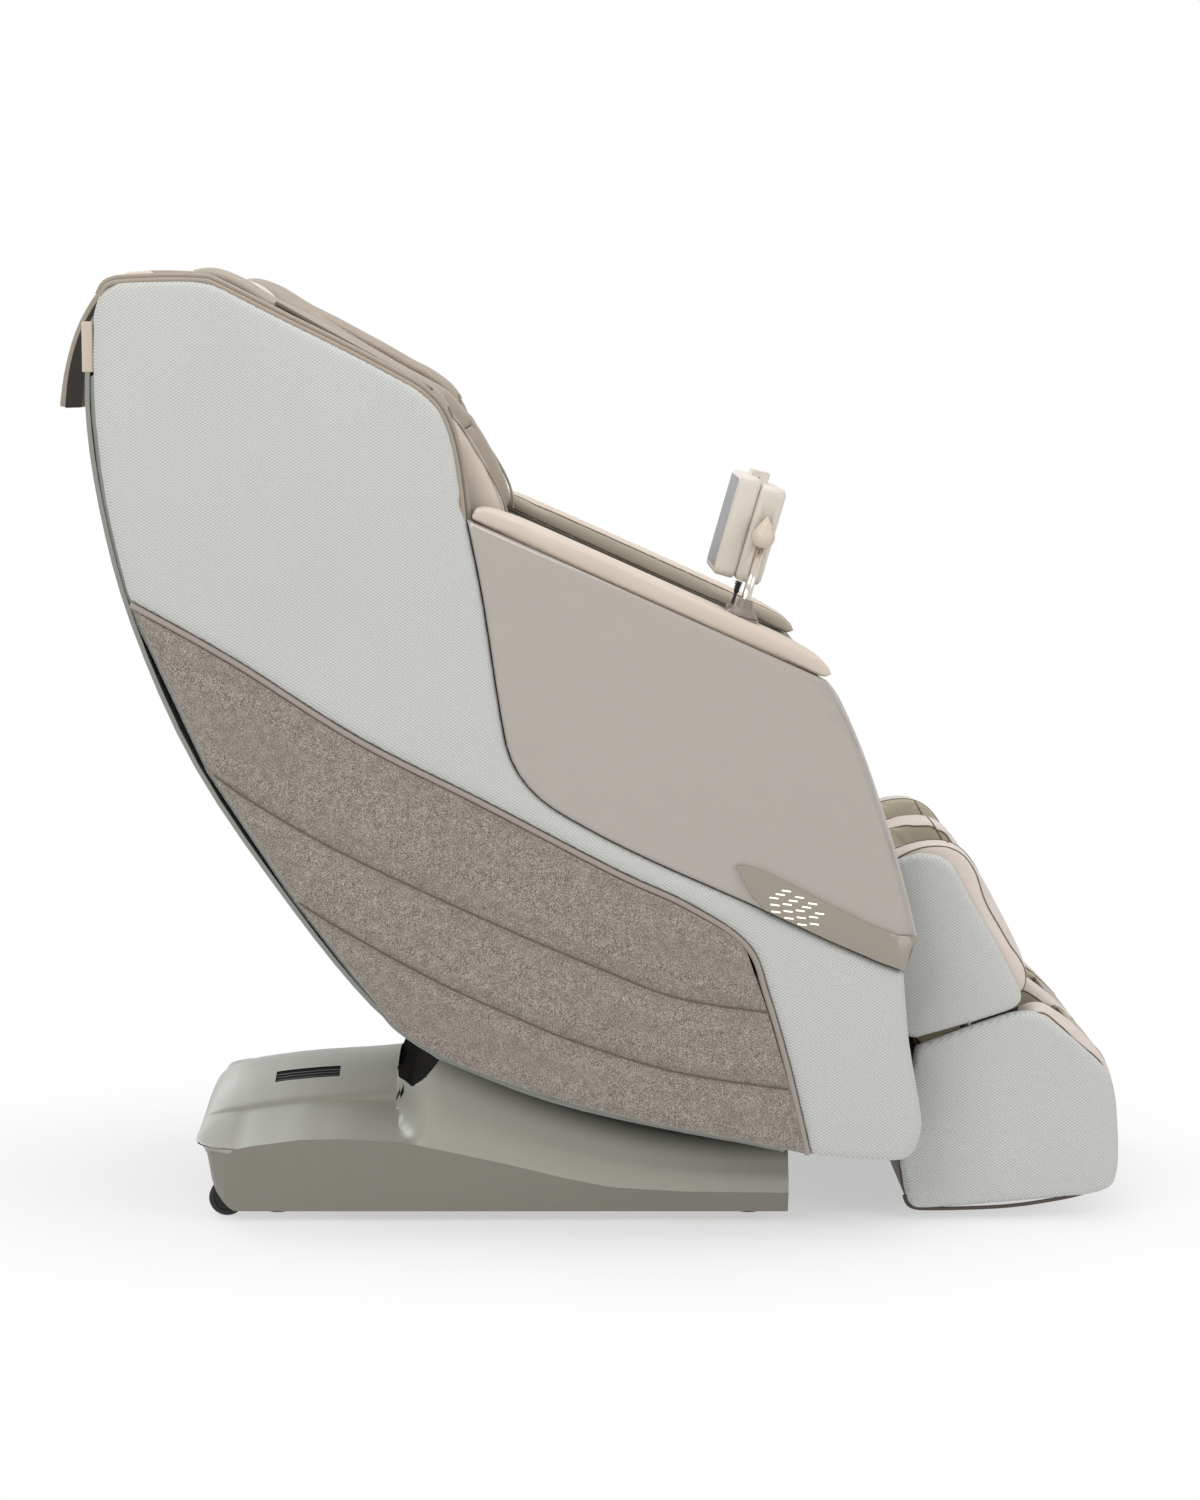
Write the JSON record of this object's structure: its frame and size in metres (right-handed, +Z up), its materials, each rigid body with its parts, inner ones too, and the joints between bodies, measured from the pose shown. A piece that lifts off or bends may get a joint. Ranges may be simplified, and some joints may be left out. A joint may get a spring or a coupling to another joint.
{
  "type": "massage chair",
  "caption": "Padded capsule massage chair that rocks on arc rails over a floor base, with a lifting and extending leg rest, a travelling massage carriage and a tablet on the arm.",
  "frame": {"origin": "on the floor, under the middle of the chair's bounding box", "axes": "+X forward (the way the sitter faces), +Y to the sitter's left, +Z up"},
  "size_m": [1.4421, 0.8, 1.302],
  "materials": {
    "woven_mint": "fine woven upholstery",
    "tweed": "coarse mottled weave",
    "gloss_taupe": "glossy lacquer",
    "smoked_taupe": "glossy",
    "beige_leather": "soft grain",
    "olive_leather": "soft grain",
    "taupe_leather": "soft grain",
    "dark_leather": "matt",
    "shell_plastic": "satin",
    "base_plastic": "satin",
    "housing_plastic": "satin",
    "black_plastic": "satin",
    "grey_plastic": "satin",
    "red_plastic": "gloss",
    "frame_paint": "powder coat",
    "steel": "ground",
    "chrome": "polished",
    "brass": "plain",
    "rubber": "matt",
    "roller_plastic": "satin",
    "glass_black": "gloss"
  },
  "bodies": {
    "base": {"base_frame": "frame_paint", "base_cover": "base_plastic", "vent_grilles": "black_plastic", "base_feet": "rubber", "drive_unit": "frame_paint", "air_pump": "black_plastic", "control_box": "grey_plastic", "mains_inlet": "black_plastic"},
    "switch_rocker": {"power_switch": "red_plastic"},
    "transport_wheel_right": {"wheel_right": "rubber"},
    "transport_wheel_left": {"wheel_left": "rubber"},
    "pinion": {"drive_pinion": "steel"},
    "rollers_front": {"front_guide_rollers": "black_plastic"},
    "rollers_rear": {"rear_guide_rollers": "black_plastic"},
    "capsule": {"seat_frame": "frame_paint", "rocker_rails": "steel", "drive_rack": "steel", "massage_track": "steel", "side_shell_right": "shell_plastic", "side_shell_left": "shell_plastic", "side_panel_right": "woven_mint", "side_panel_left": "woven_mint", "lower_panel_right": "tweed", "lower_panel_left": "tweed", "panel_welts": "taupe_leather", "arm_fascia_right": "gloss_taupe", "arm_fascia_left": "gloss_taupe", "light_bars": "smoked_taupe", "arm_pad_right": "beige_leather", "arm_pad_left": "beige_leather", "arm_liners": "olive_leather", "shoulder_wing_right": "beige_leather", "shoulder_wing_left": "beige_leather", "back_shell": "shell_plastic", "belly_cover": "dark_leather", "top_trim": "beige_leather", "back_cushion": "beige_leather", "seat_cushion": "beige_leather", "head_pillow": "beige_leather", "pillow_flap": "taupe_leather", "lift_actuator": "black_plastic", "tablet_mount": "taupe_leather"},
    "carriage": {"massage_carriage": "frame_paint"},
    "kneading_shaft": {"kneading_rollers": "roller_plastic"},
    "lift_rod": {"actuator_rod": "steel"},
    "calf_rest": {"calf_frame": "frame_paint", "calf_panels": "woven_mint", "calf_pads": "olive_leather", "calf_back_cover": "dark_leather"},
    "foot_rest": {"foot_frame": "chrome", "foot_panels": "woven_mint", "foot_pads": "olive_leather", "foot_sole": "dark_leather"},
    "heel_roller": {"foot_roller_heel": "roller_plastic"},
    "arch_roller": {"foot_roller_arch": "roller_plastic"},
    "tablet_swivel": {"tablet_post": "chrome", "tablet_cable": "rubber"},
    "tablet": {"tablet_dock": "housing_plastic", "tablet_case": "housing_plastic", "tablet_screen": "glass_black"}
  },
  "joints": [
    {"name": "recline", "type": "hinge", "parent": "base", "child": "capsule", "pos_m": [0.269, 0, 1.051], "axis": [0, -1, 0], "range_deg": [0, 30]},
    {"name": "pinion_spin", "type": "hinge", "parent": "base", "child": "pinion", "pos_m": [0.00002, 0, 0.1712], "axis": [0, -1, 0], "continuous": true},
    {"name": "front_roller_spin", "type": "hinge", "parent": "base", "child": "rollers_front", "pos_m": [0.14203, 0, 0.14758], "axis": [0, -1, 0], "continuous": true},
    {"name": "rear_roller_spin", "type": "hinge", "parent": "base", "child": "rollers_rear", "pos_m": [-0.1593, 0, 0.24549], "axis": [0, -1, 0], "continuous": true},
    {"name": "transport_wheel_right_spin", "type": "hinge", "parent": "base", "child": "transport_wheel_right", "pos_m": [-0.508, -0.247, 0.0253], "axis": [0, 1, 0], "continuous": true},
    {"name": "transport_wheel_left_spin", "type": "hinge", "parent": "base", "child": "transport_wheel_left", "pos_m": [-0.508, 0.247, 0.0253], "axis": [0, 1, 0], "continuous": true},
    {"name": "power_switch_rock", "type": "hinge", "parent": "base", "child": "switch_rocker", "pos_m": [-0.524, -0.086, 0.083], "axis": [0, 1, 0], "range_deg": [0, 12]},
    {"name": "carriage_travel", "type": "hinge", "parent": "capsule", "child": "carriage", "pos_m": [0.269, 0, 1.051], "axis": [0, 1, 0], "range_deg": [-26, 24]},
    {"name": "kneading_spin", "type": "hinge", "parent": "carriage", "child": "kneading_shaft", "pos_m": [-0.48424, 0, 0.80626], "axis": [0, 1, 0], "continuous": true},
    {"name": "leg_rest_lift", "type": "hinge", "parent": "capsule", "child": "calf_rest", "pos_m": [0.38, 0, 0.45], "axis": [0, -1, 0], "range_deg": [0, 60]},
    {"name": "lift_rod_slide", "type": "slide", "parent": "capsule", "child": "lift_rod", "axis": [1, 0, 0], "range_m": [0, 0.0601]},
    {"name": "foot_extension", "type": "slide", "parent": "calf_rest", "child": "foot_rest", "axis": [0.4695, 0, -0.8829], "range_m": [0, 0.14]},
    {"name": "heel_roller_spin", "type": "hinge", "parent": "foot_rest", "child": "heel_roller", "pos_m": [0.515, 0, 0.058], "axis": [0, 1, 0], "continuous": true},
    {"name": "arch_roller_spin", "type": "hinge", "parent": "foot_rest", "child": "arch_roller", "pos_m": [0.59, 0, 0.058], "axis": [0, 1, 0], "continuous": true},
    {"name": "tablet_swivel", "type": "hinge", "parent": "capsule", "child": "tablet_swivel", "pos_m": [0.19236, -0.347, 0.83698], "axis": [0.2588, 0, 0.9659], "range_deg": [-90, 20]},
    {"name": "tablet_tilt", "type": "hinge", "parent": "tablet_swivel", "child": "tablet", "pos_m": [0.22135, -0.32, 0.94517], "axis": [0, 1, 0], "range_deg": [-15, 15]}
  ],
  "couplings": [
    {"joint": "pinion_spin", "follows": "recline", "ratio": -25.286},
    {"joint": "front_roller_spin", "follows": "recline", "ratio": -40.455},
    {"joint": "rear_roller_spin", "follows": "recline", "ratio": -40.455},
    {"joint": "lift_rod_slide", "follows": "leg_rest_lift", "m_per_rad": 0.0573}
  ]
}
